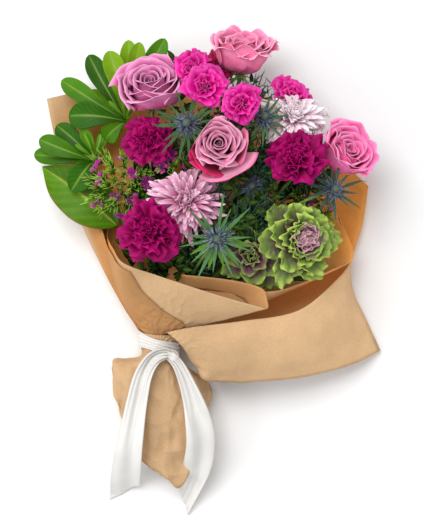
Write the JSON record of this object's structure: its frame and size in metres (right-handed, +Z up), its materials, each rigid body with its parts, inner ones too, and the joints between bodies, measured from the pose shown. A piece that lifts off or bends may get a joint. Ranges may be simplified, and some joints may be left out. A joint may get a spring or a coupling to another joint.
{
  "type": "mixed flower bouquet in a paper wrap",
  "caption": "Mixed bouquet of roses, carnations, thistles, ornamental kale and leaves, lying in a kraft paper cone tied with a satin ribbon",
  "frame": {"origin": "middle of the whole bouquet's box, on the surface that it lies on", "axes": "+Z up from the surface; +Y from the tied stems towards the open mouth of the wrap, along the bouquet; +X across it, to the right seen from above with the flowers at the top"},
  "size_m": [0.4087, 0.555, 0.1681],
  "materials": {
    "rose": "satin",
    "magenta": "matte",
    "dark_carnation": "matte",
    "mum": "matte",
    "kale_green": "matte",
    "kale_purple": "matte",
    "thistle_blue": "matte",
    "thistle_green": "matte",
    "leaf": "satin",
    "stem": "matte",
    "kraft": "matte",
    "ribbon": "satin"
  },
  "bodies": {
    "root": {"rose_left": "rose", "rose_top": "rose", "rose_centre": "rose", "rose_right": "rose", "carnation_left": "dark_carnation", "carnation_mid": "dark_carnation", "carnation_right": "dark_carnation", "mini_1": "magenta", "mini_2": "magenta", "mini_3": "magenta", "mini_4": "magenta", "mini_5": "magenta", "mum_left": "mum", "mum_right": "mum", "kale_large_leaves": "kale_green", "kale_large_heart": "kale_purple", "kale_small_leaves": "kale_green", "thistle_1_bracts": "thistle_green", "thistle_1_cone": "thistle_blue", "thistle_2_bracts": "thistle_green", "thistle_2_cone": "thistle_blue", "thistle_3_bracts": "thistle_green", "thistle_3_cone": "thistle_blue", "thistle_4_bracts": "thistle_green", "thistle_4_cone": "thistle_blue", "thistle_5_bracts": "thistle_green", "thistle_5_cone": "thistle_blue", "sweet_william_1": "stem", "sweet_william_2": "stem", "sweet_william_3": "stem", "foliage_1": "leaf", "foliage_2": "leaf", "broad_leaf": "leaf", "rose_left_stem": "stem", "rose_top_stem": "stem", "rose_centre_stem": "stem", "rose_right_stem": "stem", "carnation_left_stem": "stem", "carnation_mid_stem": "stem", "carnation_right_stem": "stem", "spray_1_stem": "stem", "spray_2_stem": "stem", "mum_left_stem": "stem", "mum_right_stem": "stem", "kale_large_stem": "stem", "kale_small_stem": "stem", "inner_paper": "kraft", "outer_paper": "kraft", "ribbon": "ribbon"}
  },
  "joints": []
}
